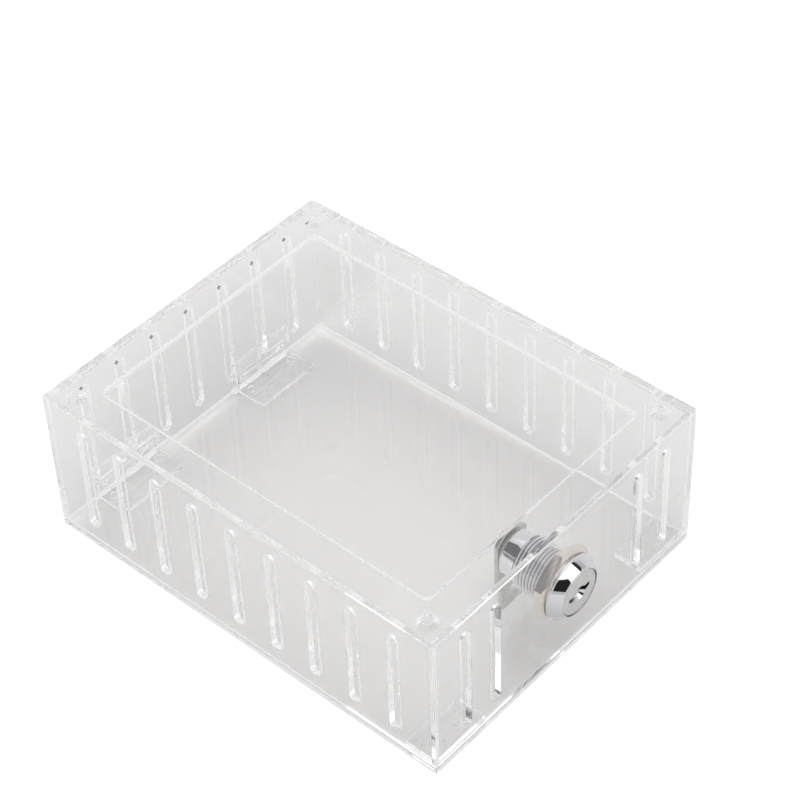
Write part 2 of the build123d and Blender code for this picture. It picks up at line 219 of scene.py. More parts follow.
# %% Where sheets are glued together
# Places in metres: the case's planes and the outlines of what is glued to its sheets.
END_X, WALL_X, WALL_Y = 0.100, 0.097, 0.0745
COVER_UNDERSIDE, COVER_TOP, BACK_UNDERSIDE = 0.005, 0.008, 0.074
LEAF_SIDES, LEAF_TOP, LEAF_TIP = (0.0235, 0.0565), 0.021, -0.084
BLOCK_X, BLOCK_Y = (0.0837, 0.0965), (0.048, 0.074)
KEEPER_X, KEEPER_Y = (0.0567, 0.0667), (0.01087, 0.01387)
# How far off a plane, and how far past an outline, a point still belongs to it.
PLANE_REACH, EDGE_REACH = 0.00003, 0.00001


def on_plane(tree, value, plane):
    return math(tree, "COMPARE", value, plane, PLANE_REACH)


def beyond(tree, value, edge):
    return math(tree, "GREATER_THAN", value, edge - EDGE_REACH)


def short_of(tree, value, edge):
    return math(tree, "LESS_THAN", value, edge + EDGE_REACH)


def between(tree, value, span):
    middle, half = (span[0] + span[1]) / 2, (span[1] - span[0]) / 2
    return math(tree, "COMPARE", value, middle, half + EDGE_REACH)


def glued_faces(tree, position):
    """1 on the faces where two clear pieces are bonded, 0 elsewhere."""
    x, y, z = axes_of(tree, position)
    across, along = math(tree, "ABSOLUTE", x), math(tree, "ABSOLUTE", y)
    in_long_wall = beyond(tree, along, WALL_Y)
    over_walls = any_of(tree, beyond(tree, across, WALL_X), in_long_wall)
    under_back = all_of(tree, on_plane(tree, z, BACK_UNDERSIDE), over_walls)
    at_corner = all_of(tree, on_plane(tree, across, WALL_X), in_long_wall)
    # The hinge leaves, on the end wall and under the cover.
    on_wall = all_of(tree, on_plane(tree, x, -END_X), short_of(tree, z, LEAF_TOP))
    under_cover = all_of(tree, on_plane(tree, z, COVER_UNDERSIDE), short_of(tree, x, LEAF_TIP))
    at_hinge = between(tree, along, LEAF_SIDES)
    leaves = all_of(tree, any_of(tree, on_wall, under_cover), at_hinge)
    # The two blocks and the keeper, which stand on the cover's inner face.
    blocks = all_of(tree, between(tree, x, BLOCK_X), between(tree, along, BLOCK_Y))
    keeper = all_of(tree, between(tree, x, KEEPER_X), between(tree, y, KEEPER_Y))
    feet = all_of(tree, on_plane(tree, z, COVER_TOP), any_of(tree, blocks, keeper))
    return any_of(tree, under_back, at_corner, leaves, feet)


# %% Glue that stays white
OUTER_LEAF_Z, OUTER_LEAF_X = 0.0135, -0.0915
JUST_INSIDE = 0.0001


def glue_haze(tree, position):
    """How much white shows in a joint: a few bubbles, and a trace of the thick glue under
    the outer half of each hinge leaf, where it was pressed on."""
    x, y, z = axes_of(tree, position)
    at_wall = math(tree, "LESS_THAN", x, JUST_INSIDE - END_X)
    at_cover = math(tree, "LESS_THAN", z, COVER_UNDERSIDE + JUST_INSIDE)
    on_wall = all_of(tree, at_wall, math(tree, "GREATER_THAN", z, OUTER_LEAF_Z))
    on_cover = all_of(tree, at_cover, math(tree, "GREATER_THAN", x, OUTER_LEAF_X))
    at_hinge = between(tree, math(tree, "ABSOLUTE", y), LEAF_SIDES)
    outer_half = all_of(tree, any_of(tree, on_wall, on_cover), at_hinge)
    smear = spread_to(tree, noise(tree, position, 150, 2, (1, 0.3, 1)), 0.0, 0.12, 0.38, 0.6)
    bubbles = spread_to(tree, noise(tree, position, 700, 2), 0, 0.16, 0.62, 0.74)
    return any_of(tree, bubbles, all_of(tree, outer_half, smear))


# %% The clear material
ACRYLIC_IOR, POLISH = 1.49, 0.004
GLUE_WHITE, GLUE_LETS_THROUGH = (0.98, 0.98, 0.98, 1), 0.75
VEIL_UPRIGHT, VEIL_FLAT = (0.80, 0.80, 0.81, 1), (0.965, 0.965, 0.965, 1)
CLEARER_SPOTS = 1.012


def make_clear(name, tint, haze, wave):
    """Clear plastic: tint is what one sheet lets through, haze its roughness in the worst
    spots and wave the height of its faint unevenness in metres."""
    material, tree, output, position = start_material(name)
    scratches = spread_to(tree, noise(tree, position, 700, 3, (1, 0.12, 0.12)), 0, 1, 0.55, 0.75)
    rubbed = spread_to(tree, noise(tree, position, 30, 2), 0, 1, 0.45, 0.65)
    roughness = math(tree, "ADD", all_of(tree, scratches, rubbed, haze), POLISH)
    uneven = bump(tree, noise(tree, position, 28, 1), wave)
    clearer = [min(1, share * CLEARER_SPOTS) for share in tint]
    drift = spread_to(tree, noise(tree, position, 45, 3), 0, 1)
    shade = blend_colours(tree, drift, (*tint, 1), (*clearer, 1))
    glass = new_node(
        tree, "ShaderNodeBsdfPrincipled", Base_Color=shade, Roughness=roughness, Normal=uneven,
        Transmission_Weight=1.0, IOR=ACRYLIC_IOR,
    )
    # A bonded face isn't there for light, apart from the glue that stayed white.
    thrown_back = new_node(tree, "ShaderNodeBsdfDiffuse", Color=GLUE_WHITE)
    let_through = new_node(tree, "ShaderNodeBsdfTranslucent", Color=GLUE_WHITE)
    glue = mix_shaders(tree, GLUE_LETS_THROUGH, thrown_back, let_through)
    straight = new_node(tree, "ShaderNodeBsdfTransparent", Color=(1, 1, 1, 1))
    bond = mix_shaders(tree, glue_haze(tree, position), straight, glue)
    body = mix_shaders(tree, glued_faces(tree, position), glass, bond)
    # Lamps shine through: their rays meet a clear veil that holds back a little light.
    lies_flat = math(tree, "ABSOLUTE", axes_of(tree, position.node.outputs["Normal"])[2])
    held_back = blend_colours(tree, lies_flat, VEIL_UPRIGHT, VEIL_FLAT)
    veil = new_node(tree, "ShaderNodeBsdfTransparent", Color=held_back)
    path = tree.nodes.new("ShaderNodeLightPath")
    whole = mix_shaders(tree, path.outputs["Is Shadow Ray"], body, veil)
    put(tree, whole.outputs[0], output.inputs["Surface"])
    return material


finishes = {
    "clear_sheet": make_clear("clear_sheet", (0.997, 0.996, 0.997), 0.03, 0.000002),
    "hinge_plastic": make_clear("hinge_plastic", (0.998, 0.997, 0.998), 0.04, 0.000002),
    "hinge_pin": make_clear("hinge_rod", (0.99, 0.99, 0.992), 0.12, 0.00002),
}
print("clear materials", [material.name for material in finishes.values()])


# %% [markdown]
# ## Plated metal
#
# The lock's parts are die cast or turned and then plated. Bright chrome is almost a mirror,
# so most of its look comes from what it mirrors, and only a faint unevenness and a breath of
# roughness are its own. The nut's nickel is warmer and duller, and the face of the plug is
# satin. Each finish is one metallic Principled shader whose colour, roughness and bump vary
# by noise at the scale of the real marks.

# %% Metal materials
# The height of the lock's axis in millimetres, and the thread's ends and radii in metres.
LOCK_Z = 42.5
THREAD_FROM, THREAD_TO = 0.0801, 0.0997
BORE, THREAD_ROOT, THREAD_CREST = 0.0095, 0.01012, 0.01055
# Painted shade in the thread's roots: its colour, and how much of it is laid on.
ROOT_SHADE_COLOUR, ROOT_SHADE_SHARE = (0.10, 0.10, 0.105, 1), 0.65
# Two colours, the range of roughness, the grain's stretch and the ripple's height in metres.
METALS = {
    "bright_chrome": ((0.78, 0.78, 0.81), (0.73, 0.73, 0.76), (0.03, 0.07), (1, 1, 1), 3e-6),
    "nickel_nut": ((0.79, 0.735, 0.68), (0.71, 0.65, 0.595), (0.10, 0.20), (1, 1, 1), 1e-5),
    "satin_face": ((0.73, 0.73, 0.72), (0.66, 0.66, 0.66), (0.24, 0.34), (1, 0.2, 1), 6e-6),
    # The keyway is painted nearly black: graphite, and painted shade in its narrow slot.
    "keyway_metal": ((0.055, 0.053, 0.055), (0.02, 0.02, 0.021), (0.35, 0.55), (0.2, 1, 1), 1e-5),
    "zinc_steel": ((0.60, 0.61, 0.58), (0.52, 0.54, 0.52), (0.22, 0.34), (1, 1, 0.15), 6e-6),
    "wafer_brass": ((0.80, 0.62, 0.30), (0.72, 0.54, 0.25), (0.22, 0.35), (1, 0.2, 1), 6e-6),
    "spring_steel": ((0.62, 0.62, 0.62), (0.55, 0.55, 0.56), (0.2, 0.3), (1, 1, 0.3), 4e-6),
}


def thread_roots(tree, position):
    """1 deep between the crests of the barrel's thread, where shade is painted dark."""
    x, y, z = axes_of(tree, position)
    above = math(tree, "SUBTRACT", z, LOCK_Z * MM)
    squares = math(tree, "ADD", all_of(tree, y, y), all_of(tree, above, above))
    radius = math(tree, "SQRT", squares)
    deep = spread_to(tree, radius, 1, 0, THREAD_ROOT, THREAD_CREST)
    past_start = math(tree, "GREATER_THAN", x, THREAD_FROM)
    before_end = math(tree, "LESS_THAN", x, THREAD_TO)
    return all_of(tree, deep, past_start, before_end, math(tree, "GREATER_THAN", radius, BORE))


def make_metal(name, colour, second, rough, grain, ripple):
    """Plated metal whose two colours drift into each other."""
    material, tree, output, position = start_material(name)
    drift = spread_to(tree, noise(tree, position, 160, 3), 0, 1)
    marks = noise(tree, position, 1500, 3, grain)
    base = blend_colours(tree, drift, (*colour, 1), (*second, 1))
    # Only the barrel, which is bright chrome, has a thread, and shade is painted into its roots.
    if name == "bright_chrome":
        painted_root_shade = all_of(tree, thread_roots(tree, position), ROOT_SHADE_SHARE)
        base = blend_colours(tree, painted_root_shade, base, ROOT_SHADE_COLOUR)
    height = math(tree, "ADD", noise(tree, position, 240, 1), all_of(tree, marks, 0.12))
    metal = new_node(
        tree, "ShaderNodeBsdfPrincipled", Base_Color=base, Roughness=spread_to(tree, marks, *rough),
        Normal=bump(tree, height, ripple), Metallic=1.0,
    )
    put(tree, metal.outputs[0], output.inputs["Surface"])
    return material


for name, recipe in METALS.items():
    finishes[name] = make_metal(name, *recipe)
print("metals", [finishes[name].name for name in METALS])

# %% [markdown]
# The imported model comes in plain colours. Its record names a slot for each part, and the
# slot names the finish, so one short loop dresses every solid, also those that no new piece
# will stand for.

# %% Every carried over node gets its finish
for part in frame["record"]["subparts"]:
    mesh = frame["nodes"][part["node"]].data
    mesh.materials.clear()
    mesh.materials.append(finishes[part["material_slot"]])

# %% [markdown]
# ## Sheets cut by laser
#
# Each wall is flat sheet with long vent slots. A slot is a circle whose two halves have been
# pulled apart, so each outline starts as `create_circle`. The outlines are filled into one
# face with holes, raised to the sheet's thickness, and the rims that a hand can touch get a
# small round. Rims that are glued to another sheet stay sharp, because a bonded joint closes
# without a groove. A boolean would do it too, but it leaves odd long faces behind.

# %% Outlines
ROUND_STEPS, CORNER_STEPS = 48, 8


def draw_slot(bm, width, length, middle):
    """The outline of an upright slot, width across and length overall."""
    half_step = pi / ROUND_STEPS
    radius = width / 2 / cos(half_step)
    turned = Matrix.Rotation(half_step, 4, "Z")
    ring = bmesh.ops.create_circle(bm, segments=ROUND_STEPS, radius=radius, matrix=turned)["verts"]
    pull = (length - width) / 2
    upper = [v for v in ring if v.co.y > 0]
    lower = [v for v in ring if v.co.y < 0]
    bmesh.ops.translate(bm, verts=upper, vec=(0, pull, 0))
    bmesh.ops.translate(bm, verts=lower, vec=(0, -pull, 0))
    bmesh.ops.translate(bm, verts=ring, vec=(middle[0], middle[1], 0))


def draw_rectangle(bm, width, height, corner=0.0):
    """The outline of a rectangle about the origin, with rounded corners if asked."""
    before = set(bm.verts)
    corners = bmesh.ops.create_grid(bm, x_segments=1, y_segments=1, size=0.5)["verts"]
    bmesh.ops.scale(bm, vec=(width, height, 1), verts=corners)
    if corner:
        bmesh.ops.bevel(
            bm, geom=corners, offset=corner, segments=CORNER_STEPS, profile=0.5,
            affect="VERTICES", material=-1,
        )
    drawn = [v for v in bm.verts if v not in before]
    faces = {face for v in drawn for face in v.link_faces}
    bmesh.ops.delete(bm, geom=list(faces), context="FACES_ONLY")


def upright(along_x, origin):
    """A wall's own axes: across it, up, and through its thickness (+X, or -Y)."""
    across = Vector((1, 0, 0)) if along_x else Vector((0, 1, 0))
    up = Vector((0, 0, 1))
    axes = Matrix((across, up, across.cross(up))).transposed().to_4x4()
    return Matrix.Translation(origin) @ axes


# %% From outlines to a polished sheet
SOFT_EDGE, RIM_ANGLE = 0.13, radians(60)
SAME_PLANE, JOINT_MARGIN = 0.01, 0.1


def is_bonded(point):
    """True where a corner, in millimetres, lies in a glued joint between two sheets."""
    across, along = abs(point.x), abs(point.y)
    in_end_wall = across > WALL_X / MM - JOINT_MARGIN
    in_long_wall = along > WALL_Y / MM - JOINT_MARGIN
    under_back = abs(point.z - BACK_UNDERSIDE / MM) < SAME_PLANE
    at_corner = abs(across - WALL_X / MM) < SAME_PLANE
    return under_back and (in_end_wall or in_long_wall) or at_corner and in_long_wall


def raise_sheet(bm, thickness, matrix):
    """Fill the outlines, give them thickness and put the sheet where it stands."""
    bmesh.ops.triangle_fill(bm, use_beauty=True, use_dissolve=False, edges=bm.edges[:])
    raised = bmesh.ops.extrude_face_region(bm, geom=bm.faces[:], use_keep_orig=True)["geom"]
    upper = [thing for thing in raised if isinstance(thing, bmesh.types.BMVert)]
    bmesh.ops.translate(bm, verts=upper, vec=(0, 0, thickness))
    bmesh.ops.transform(bm, matrix=matrix, verts=bm.verts[:])
    bmesh.ops.recalc_face_normals(bm, faces=bm.faces[:])


def bevel_edges(bm, edges, width, segments, clamp=True):
    bmesh.ops.bevel(
        bm, geom=edges, offset=width, offset_type="OFFSET", segments=segments, profile=0.5,
        affect="EDGES", clamp_overlap=clamp, loop_slide=False, material=-1,
    )


def polish_edges(bm):
    """Round the rims that are free, as the polishing wheel or the flame does."""
    rims = [
        edge for edge in bm.edges
        if edge.calc_face_angle(0) > RIM_ANGLE and not all(is_bonded(v.co) for v in edge.verts)
    ]
    bevel_edges(bm, rims, SOFT_EDGE, segments=2, clamp=False)


# %% [markdown]
# ### The four walls
#
# Air reaches the thermostat through the slots: seven in the hinge wall, nine in each long
# wall and four in the lock wall, two on each side of the round hole for the lock.

# %% Walls
SLOT_WIDTH = 5.0
SLOT_BOTTOM, SLOT_TOP = 15.7, 68.4
LOCK_HOLE = 11.2


def make_wall(node, along_x, slot_places, lock_hole=False):
    low, high = place(node)
    middle_z = (low.z + high.z) / 2
    if along_x:
        origin = Vector(((low.x + high.x) / 2, high.y, middle_z))
        width, thickness = high.x - low.x, high.y - low.y
    else:
        origin = Vector((low.x, (low.y + high.y) / 2, middle_z))
        width, thickness = high.y - low.y, high.x - low.x
    bm = bmesh.new()
    draw_rectangle(bm, width, high.z - low.z)
    slot_middle = (SLOT_BOTTOM + SLOT_TOP) / 2 - middle_z
    for slot_place in slot_places:
        draw_slot(bm, SLOT_WIDTH, SLOT_TOP - SLOT_BOTTOM, (slot_place, slot_middle))
    if lock_hole:
        bore = bmesh.ops.create_circle(bm, segments=2 * ROUND_STEPS, radius=LOCK_HOLE)["verts"]
        bmesh.ops.translate(bm, verts=bore, vec=(0, LOCK_Z - middle_z, 0))
    raise_sheet(bm, thickness, upright(along_x, origin))
    polish_edges(bm)
    finish_piece(bm, "clear_" + node, "case", "clear_sheet", [node])


def row_of(count, pitch):
    """Places of slots at an even pitch about the wall's middle."""
    return [(i - (count - 1) / 2) * pitch for i in range(count)]


make_wall("hinge_wall", False, row_of(7, 19.5))
make_wall("lock_wall", False, [-59.5, -42.5, 42.5, 59.5], lock_hole=True)
make_wall("near_wall", True, row_of(9, 20.0))
make_wall("far_wall", True, row_of(9, 20.0))

# %% [markdown]
# ### The back plate
#
# A frame round the window that goes over the thermostat, with a screw hole near each corner.
# The holes are countersunk from inside. The hole starts as the wide circle of the
# countersink. Once the plate is raised, a cut through the hole's wall gives the ring where
# the cone ends, and the two upper rings are drawn in to the screw's size.

# %% Back plate
WINDOW_X, WINDOW_Y, WINDOW_CORNER = 168.0, 123.0, 3.0
SCREW_X, SCREW_Y = 90.0, 68.5
SCREW_RADIUS, SINK_RADIUS = 2.25, 4.25

low, high = place("back_plate")
cone_end = low.z + SINK_RADIUS - SCREW_RADIUS
bm = bmesh.new()
draw_rectangle(bm, high.x - low.x, high.y - low.y)
draw_rectangle(bm, WINDOW_X, WINDOW_Y, WINDOW_CORNER)
for x in (-SCREW_X, SCREW_X):
    for y in (-SCREW_Y, SCREW_Y):
        draw_slot(bm, 2 * SINK_RADIUS, 2 * SINK_RADIUS, (x, y))
raise_sheet(bm, high.z - low.z, Matrix.Translation((0, 0, low.z)))


def round_which_screw(point):
    """The middle of the screw hole that this point belongs to, or None."""
    side_x = SCREW_X if point.x > 0 else -SCREW_X
    side_y = SCREW_Y if point.y > 0 else -SCREW_Y
    middle = Vector((side_x, side_y))
    return middle if (point.xy - middle).length < SINK_RADIUS + 0.01 else None


hole_walls = [f for f in bm.faces if all(round_which_screw(v.co) for v in f.verts)]
hole_edges = {e for f in hole_walls for e in f.edges}
bmesh.ops.bisect_plane(
    bm, geom=hole_walls + list(hole_edges), plane_co=(0, 0, cone_end), plane_no=(0, 0, 1)
)
draw_in = SCREW_RADIUS / SINK_RADIUS
for v in bm.verts:
    middle = round_which_screw(v.co)
    if middle and v.co.z > low.z + 0.1:
        v.co.xy = middle + (v.co.xy - middle) * draw_in
bm.normal_update()
polish_edges(bm)
finish_piece(bm, "clear_back_plate", "case", "clear_sheet", ["back_plate"])

# %% [markdown]
# ## Pieces that keep the shape of their solid
#
# Where a solid's shape is already right, the quickest true start is a copy of its own
# surface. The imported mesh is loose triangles, so the copy is merged and its flat faces are
# joined first. Then the sharp edges get a small round, because no moulded or plated part has
# a knife edge, and that round is what catches the light.

# %% A softened copy of a solid
CRISP_METAL = 24


def merged_copy(node):
    """The surface of a CAD node in millimetres, with its loose triangles joined."""
    bm = bmesh.new()
    bm.from_mesh(frame["nodes"][node].data)
    bmesh.ops.scale(bm, vec=(1 / MM, 1 / MM, 1 / MM), verts=bm.verts[:])
    bmesh.ops.remove_doubles(bm, verts=bm.verts[:], dist=0.001)
    bmesh.ops.dissolve_limit(
        bm, angle_limit=radians(0.5), use_dissolve_boundaries=False,
        verts=bm.verts[:], edges=bm.edges[:],
    )
    return bm


def soften(bm, width, sharper_than=40):
    """Round the edges where two faces meet at more than so many degrees."""
    sharp = [e for e in bm.edges if e.calc_face_angle(0) > radians(sharper_than)]
    bevel_edges(bm, sharp, width, segments=2)


def soften_copy(node, name, body, slot, width):
    bm = merged_copy(node)
    soften(bm, width)
    finish_piece(bm, name, body, slot, [node], CRISP_METAL)


for side in ("near", "far"):
    soften_copy(side + "_hinge_pin", "clear_" + side + "_pin", "case", "hinge_pin", 0.2)
soften_copy("lock_cam", "stamped_cam", "lock_core", "zinc_steel", 0.25)
soften_copy("stop_washer", "stamped_washer", "lock_core", "zinc_steel", 0.15)
soften_copy("cam_screw", "turned_screw", "lock_core", "zinc_steel", 0.08)

# %% [markdown]
# ### The hinge leaves
#
# A moulded leaf is no plain plate. Its outer side has two shallow pockets inside a rim, which
# save plastic and keep the leaf flat as it cools, and through the clear sheet their steps show
# as fine lines. `inset_region` makes a pocket in one step: it draws the rim's width inwards,
# also round the screw holes, and sinks what is left.

# %% Leaves with their pockets
LEAF_CORNER = Vector((-100, 0, 5))
LEAF_START, LEAF_SPLIT, LEAF_END = 1.0, 8.6, 17.0
LEAF_RIM, POCKET_DEPTH, LEAF_ROUND = 0.9, 0.35, 0.12
OUTER_FACE = 1.9


def sink_pocket(bm, outward, along, start, end):
    """Sink the outer face of a leaf between two distances from the corner of the box."""
    inside = []
    for face in bm.faces:
        from_corner = face.calc_center_median() - LEAF_CORNER
        is_outer = face.normal.dot(outward) > 0.99 and from_corner.dot(outward) > OUTER_FACE
        if is_outer and start < from_corner.dot(along) < end:
            inside.append(face)
    bmesh.ops.inset_region(
        bm, faces=inside, thickness=LEAF_RIM, depth=-POCKET_DEPTH, use_boundary=True,
        use_even_offset=True,
    )
    return len(inside)


# Each leaf's kind, its body, the direction along it and the one out of the box.
LEAVES = (
    ("wall", "case", Vector((0, 0, 1)), Vector((-1, 0, 0))),
    ("cover", "cover", Vector((1, 0, 0)), Vector((0, 0, -1))),
)
for side in ("near", "far"):
    for kind, body, along, outward in LEAVES:
        node = side + "_hinge_" + kind + "_leaf"
        leaf = merged_copy(node)
        for distance in (LEAF_START, LEAF_SPLIT):
            bmesh.ops.bisect_plane(
                leaf, geom=leaf.verts[:] + leaf.edges[:] + leaf.faces[:],
                plane_co=LEAF_CORNER + along * distance, plane_no=along,
            )
        sunk = [
            sink_pocket(leaf, outward, along, *span)
            for span in ((LEAF_START, LEAF_SPLIT), (LEAF_SPLIT, LEAF_END))
        ]
        soften(leaf, LEAF_ROUND)
        print(node, "faces sunk", sunk, "volume", round(leaf.calc_volume()), "mm3")
        name = "moulded_" + side + "_" + kind + "_leaf"
        finish_piece(leaf, name, body, "hinge_plastic", [node], CRISP_METAL)

# %% [markdown]
# ### The plug and its keyway
#
# The face of the plug is satin, the keyway is painted nearly black, for graphite and for
# painted shade in its narrow slot, and a polished dish round its middle leads the key's tip
# in. The solid has a plain round dimple there. Its upper ring is widened and its lower ring
# drawn in, which makes the dish, and the faces get their finish by where they lie.

# %% Plug
DIMPLE_RADIUS, DIMPLE_FLOOR = 2.4, 103.85
DISH_MIDDLE = Vector((0.4, LOCK_Z - 0.8))
DISH_RADIUS, DISH_FLOOR_RADIUS, DISH_FLOOR = 3.3, 1.8, 103.35
FACE_X, FACE_RADIUS, FACE_CHAMFER = 104.85, 10.1, 0.3
KEYWAY_REACH, KEYWAY_HALF_HEIGHT, KEYWAY_END = 6.05, 1.35, 82
NEAR = 0.02
# Places of the two finishes that the plug has beside its satin one.
POLISHED, DARK = 1, 2


def from_axis(point):
    """Where a point lies across the lock's axis, sideways and up."""
    return Vector((point.y, point.z - LOCK_Z))


def on_face_rim(point):
    on_circle = abs(from_axis(point).length - FACE_RADIUS) < NEAR
    return on_circle and point.x > FACE_X - NEAR


plug = merged_copy("lock_plug")
rim, floor_ring = [], []
for v in plug.verts:
    spoke = from_axis(v.co)
    if abs(spoke.length - DIMPLE_RADIUS) < NEAR and v.co.x > DIMPLE_FLOOR - NEAR:
        at_top = v.co.x > FACE_X - NEAR
        ring, radius = (rim, DISH_RADIUS) if at_top else (floor_ring, DISH_FLOOR_RADIUS)
        ring.append(v)
        v.co.yz = DISH_MIDDLE + spoke.normalized() * radius
    if abs(v.co.x - DIMPLE_FLOOR) < NEAR:
        v.co.x = DISH_FLOOR
plug.normal_update()
dish_verts = set(rim + floor_ring)
face_rim = [e for e in plug.edges if all(on_face_rim(v.co) for v in e.verts)]
bevel_edges(plug, face_rim, FACE_CHAMFER, segments=1)
# The keyway's walls get the dark finish: graphite, and painted shade in the slot.
for face in plug.faces:
    middle = face.calc_center_median()
    across, above = from_axis(middle)
    in_keyway = abs(across) < KEYWAY_REACH and abs(above) < KEYWAY_HALF_HEIGHT
    if all(v in dish_verts for v in face.verts):
        face.material_index = POLISHED
    elif in_keyway and abs(face.normal.x) < 0.5 and middle.x > KEYWAY_END:
        face.material_index = DARK
for part, index in (("dish", POLISHED), ("keyway", DARK)):
    print(part, "faces", sum(face.material_index == index for face in plug.faces))
plug_piece = finish_piece(
    plug, "satin_plug", "lock_core", "satin_face", ["lock_plug"], CRISP_METAL
)
plug_piece.data.materials.append(finishes["bright_chrome"])
plug_piece.data.materials.append(finishes["keyway_metal"])

# %% [markdown]
# ## The lock's housing
#
# Head and barrel are one casting, turned and chromed. A lathe shape is a profile that is
# spun round the lock's axis, and its corners are rounded while it is still a flat outline,
# which keeps the round even all the way.

# %% Turned head and barrel
LATHE_STEPS, HEAD_ROUND = 128, 0.25
AXIS = Vector((0, 0, LOCK_Z))
# Place along X and radius above the axis, once round the section of head and barrel.
HOUSING_PROFILE = [
    (74.0, 8.05), (74.0, 10.0), (80.0, 10.0), (80.0, 10.1), (100.0, 10.1), (100.0, 14.0),
    (101.0, 14.0), (105.0, 10.9), (105.0, 10.4), (103.0, 10.4), (103.0, 8.05),
]


def add_loop(bm, points):
    """The corners and edges of a closed outline."""
    corners = [bm.verts.new((x, 0, LOCK_Z + radius)) for x, radius in points]
    return corners, [bm.edges.new(pair) for pair in zip(corners, corners[1:] + corners[:1])]


def spin_round_axis(bm, angle, steps, merge=False, drift=0.0):
    """Sweep a section round the lock's axis, moved along it by drift at each step."""
    bmesh.ops.spin(
        bm, geom=bm.verts[:] + bm.edges[:] + bm.faces[:], cent=AXIS, axis=(1, 0, 0),
        dvec=(drift, 0, 0), angle=angle, steps=steps, use_merge=merge, use_duplicate=False,
    )


housing = bmesh.new()
corners, _ = add_loop(housing, HOUSING_PROFILE)
bmesh.ops.bevel(
    housing, geom=corners[5:8] + corners[1:2], offset=HEAD_ROUND, segments=3, profile=0.5,
    affect="VERTICES", clamp_overlap=True, material=-1,
)
spin_round_axis(housing, 2 * pi, LATHE_STEPS, merge=True)
bmesh.ops.remove_doubles(housing, verts=housing.verts[:], dist=0.0005)
bmesh.ops.recalc_face_normals(housing, faces=housing.faces[:])
print("turned housing: faces", len(housing.faces), "volume", round(housing.calc_volume()), "mm3")

# %% [markdown]
# The barrel isn't a plain tube. A wedge is missing from its end, where the stop washer's lug
# travels, and inside are two grooves for the wafers. Both cross the round walls at odd
# places, so here the boolean is the right tool. It runs before the thread is added, on two
# clean closed shapes.

# %% Notch and grooves
NOTCH_START, NOTCH_SWEEP, NOTCH_STEPS = -16.5, 78.0, 26
NOTCH_FROM, NOTCH_FLOOR = 73.5, 76.1
NOTCH_INNER, NOTCH_OUTER = 7.0, 11.0
GROOVE_MIDDLE, GROOVE_SIZE = Vector((92.85, 0, LOCK_Z)), Vector((15.0, 18.2, 6.1))


def cut_out(bm, cutter):
    """Take one closed shape out of another and give back what is left."""
    things = []
    for shape in (bm, cutter):
        shell = bpy.data.meshes.new("shape")
        shape.to_mesh(shell)
        shape.free()
        things.append(bpy.data.objects.new("shape", shell))
        bpy.context.scene.collection.objects.link(things[-1])
    cut = things[0].modifiers.new("cut", "BOOLEAN")
    cut.operation, cut.object, cut.solver = "DIFFERENCE", things[1], "EXACT"
    evaluated = things[0].evaluated_get(bpy.context.evaluated_depsgraph_get())
    rest = bmesh.new()
    rest.from_mesh(evaluated.to_mesh())
    evaluated.to_mesh_clear()
    for thing in things:
        shell = thing.data
        bpy.data.objects.remove(thing)
        bpy.data.meshes.remove(shell)
    return rest


wedge = bmesh.new()
_, outline = add_loop(wedge, [
    (NOTCH_FROM, NOTCH_INNER), (NOTCH_FROM, NOTCH_OUTER),
    (NOTCH_FLOOR, NOTCH_OUTER), (NOTCH_FLOOR, NOTCH_INNER),
])
bmesh.ops.contextual_create(wedge, geom=outline)
# The outline stands at 90 degrees from +Y, so it is first turned back to the notch's start.
turn_back = Matrix.Rotation(radians(NOTCH_START - 90), 3, "X")
bmesh.ops.rotate(wedge, verts=wedge.verts[:], cent=AXIS, matrix=turn_back)
spin_round_axis(wedge, radians(NOTCH_SWEEP), NOTCH_STEPS)
bmesh.ops.recalc_face_normals(wedge, faces=wedge.faces[:])
grooves = bmesh.new()
bmesh.ops.create_cube(grooves, size=1.0)
bmesh.ops.scale(grooves, vec=GROOVE_SIZE, verts=grooves.verts[:])
bmesh.ops.translate(grooves, vec=GROOVE_MIDDLE, verts=grooves.verts[:])
for cutter in (wedge, grooves):
    housing = cut_out(housing, cutter)
print("cut housing: faces", len(housing.faces), "volume", round(housing.calc_volume()), "mm3")

# %% [markdown]
# A thread can't be spun as a lathe shape is, because each turn also moves along the axis.
# The same `spin` makes it with its `dvec`, a small step along the axis for each step of the
# turn. The ridge's foot reaches a little into the barrel, so no gap shows.

# %% Thread ridge
PITCH, TURNS, STEPS_PER_TURN = 1.5, 12, 64
RIDGE_START, RIDGE_FOOT, RIDGE_FLANK, RIDGE_CREST = 80.1, 9.9, 10.15, 10.95
# Steps along X from the ridge's start to the corners of its section, with their radius.
RIDGE_PROFILE = [
    (0.0, RIDGE_FOOT), (0.08, RIDGE_FLANK), (0.62, RIDGE_CREST),
    (0.80, RIDGE_CREST), (1.34, RIDGE_FLANK), (1.42, RIDGE_FOOT),
]

ridge = bmesh.new()
_, outline = add_loop(ridge, [(RIDGE_START + step, r) for step, r in RIDGE_PROFILE])
bmesh.ops.contextual_create(ridge, geom=outline)
spin_round_axis(ridge, 2 * pi * TURNS, STEPS_PER_TURN * TURNS, drift=PITCH / STEPS_PER_TURN)
bmesh.ops.recalc_face_normals(ridge, faces=ridge.faces[:])
open_edges = sum(len(edge.link_faces) != 2 for edge in ridge.edges)
print("thread: faces", len(ridge.faces), "open edges", open_edges)
thread_mesh = bpy.data.meshes.new("thread_ridge")
ridge.to_mesh(thread_mesh)
ridge.free()
housing.from_mesh(thread_mesh)
bpy.data.meshes.remove(thread_mesh)
finish_piece(
    housing, "chromed_housing", "case", "bright_chrome", ["lock_housing"], crisp=30
)

# %% [markdown]
# ### The nut
#
# A nut is stamped from a bar and its edges are broken on the face that meets the wall, so
# that they don't dig in. That broken edge catches the light as a pale line beside the lock's
# head. It is bevelled first, and the other edges get their small round after it. The face is
# drawn back from the sheet by a hair, so that the two surfaces don't lie in one plane.

# %% Nut with a broken edge
NUT_BREAK, NUT_ROUND, BORE_REACH, HAIR = 0.8, 0.2, 12.0, 0.03

